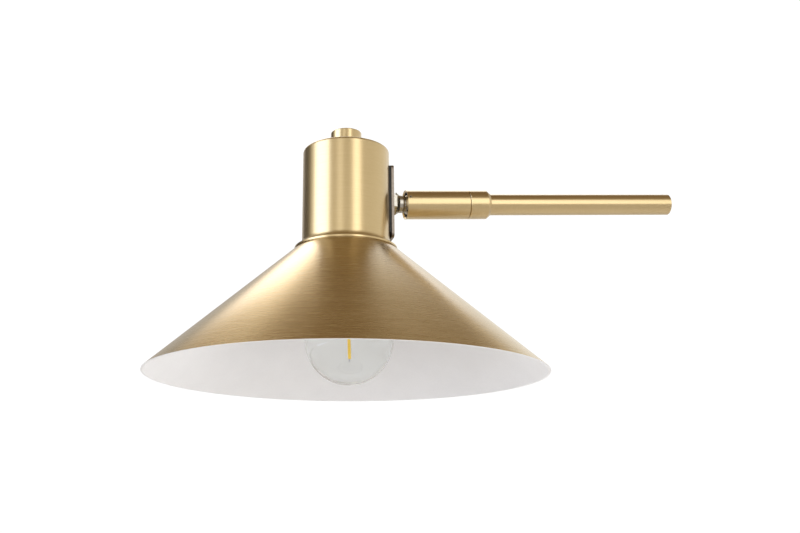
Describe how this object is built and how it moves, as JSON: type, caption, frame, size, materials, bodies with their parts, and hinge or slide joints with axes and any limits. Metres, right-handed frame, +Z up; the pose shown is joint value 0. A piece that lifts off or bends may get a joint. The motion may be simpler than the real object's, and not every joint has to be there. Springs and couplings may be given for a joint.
{
  "type": "picture light",
  "caption": "Picture light: conical shade and lampholder cup on a ball swivel at the end of a straight tubular arm, with a knob switch on top.",
  "frame": {"origin": "centre of the arm's end face, where the arm screws to its wall plate or clamp", "axes": "+X along the arm and out of its threaded end, away from the lamp; +Z up; the lamp hangs at -X with its shade opening down"},
  "size_m": [0.3824, 0.2676, 0.1822],
  "materials": {
    "satin_brass": "brushed around the axis, clear lacquer",
    "plain_brass": "turned, uncoated",
    "nickel_steel": "nickel plated, satin",
    "zinc_steel": "zinc plated",
    "cap_nickel": "nickel plated, rolled thread",
    "black_rubber": "moulded, matte",
    "black_plastic": "moulded, matte",
    "nylon": "moulded, matte",
    "white_ceramic": "glazed",
    "clear_glass": "clear, polished",
    "black_glass": "fused black glass",
    "filament_yellow": "phosphor coat",
    "lead_sheath": "silicone sheath"
  },
  "bodies": {
    "arm": {"arm_tube": "satin_brass", "collar": "satin_brass", "roll_spindle": "plain_brass", "collar_screw": "zinc_steel", "arm_end_bush": "plain_brass", "arm_end_screw": "zinc_steel", "arm_lead": "lead_sheath", "lead_connector": "black_plastic"},
    "swivel_sleeve": {"sleeve": "satin_brass", "seat_lock_screw": "nickel_steel", "roll_stop_screw": "zinc_steel", "ball_front_seat": "black_plastic", "ball_rear_seat": "nylon", "disc_springs": "zinc_steel", "spring_plug": "plain_brass", "roll_washer": "zinc_steel"},
    "ball_pin_pair": {"ball_pins": "zinc_steel"},
    "lamp_head": {"ball_stud": "nickel_steel", "swivel_plate": "nickel_steel", "plate_gasket": "black_rubber", "plate_screws": "nickel_steel", "inner_bracket": "zinc_steel", "earth_screw": "zinc_steel", "stud_outer_nut": "nickel_steel", "stud_washer": "nickel_steel", "stud_inner_nut": "nickel_steel", "cup": "satin_brass", "shade": "satin_brass", "switch_body": "black_plastic", "switch_nut": "nickel_steel", "lampholder_body": "white_ceramic", "lampholder_shell": "plain_brass", "centre_contact": "zinc_steel", "terminal_screws": "plain_brass", "nipple": "plain_brass", "nipple_nuts": "plain_brass", "shade_ring": "black_plastic", "bulb_glass": "clear_glass", "bulb_cap": "cap_nickel", "bulb_insulator": "black_glass", "bulb_tip": "zinc_steel", "bulb_stem": "clear_glass", "bulb_filament": "filament_yellow", "bulb_wires": "zinc_steel", "head_lead": "lead_sheath", "lampholder_lead": "lead_sheath"},
    "switch_knob": {"knob": "satin_brass", "knob_shaft": "zinc_steel", "knob_screw": "nickel_steel"}
  },
  "joints": [
    {"name": "head_roll", "type": "hinge", "parent": "arm", "child": "swivel_sleeve", "pos_m": [-0.1538, 0, 0], "axis": [1, 0, 0], "range_deg": [-165, 165]},
    {"name": "head_swing", "type": "hinge", "parent": "swivel_sleeve", "child": "ball_pin_pair", "pos_m": [-0.1938, 0, 0], "axis": [0, 0, 1], "range_deg": [-12, 12]},
    {"name": "head_tilt", "type": "hinge", "parent": "ball_pin_pair", "child": "lamp_head", "pos_m": [-0.1938, 0, 0], "axis": [0, 1, 0], "range_deg": [-23.5, 16.5]},
    {"name": "switch_turn", "type": "hinge", "parent": "lamp_head", "child": "switch_knob", "pos_m": [-0.2388, 0, 0.04483], "axis": [0.061, 0, 0.9981], "range_deg": [0, 90]}
  ]
}
